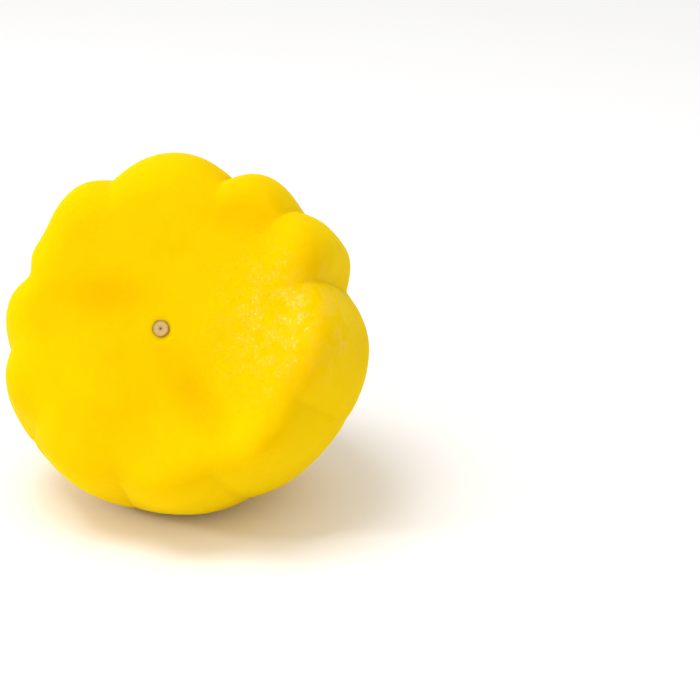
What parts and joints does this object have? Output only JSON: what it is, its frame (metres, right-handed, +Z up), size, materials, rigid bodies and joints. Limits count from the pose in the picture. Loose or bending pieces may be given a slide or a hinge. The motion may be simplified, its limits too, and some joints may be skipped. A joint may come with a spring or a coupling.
{
  "type": "pattypan squash",
  "caption": "Whole pattypan squash with a scalloped rim, a dimpled blossom face with a corky scar, and a short ridged stem, lying on its flank.",
  "frame": {"origin": "middle of the bounding box's bottom face, on the surface the squash lies on", "axes": "+Z up; the blossom face looks towards -Y, turned a little to -X; the stem end points towards +Y and down"},
  "size_m": [0.1132, 0.1146, 0.1093],
  "materials": {
    "fruit": "smooth waxy yellow rind with a soft sheen",
    "stem": "matt fibrous green, paler along the ridges"
  },
  "bodies": {
    "root": {"fruit": "fruit", "stem": "stem"}
  },
  "joints": []
}
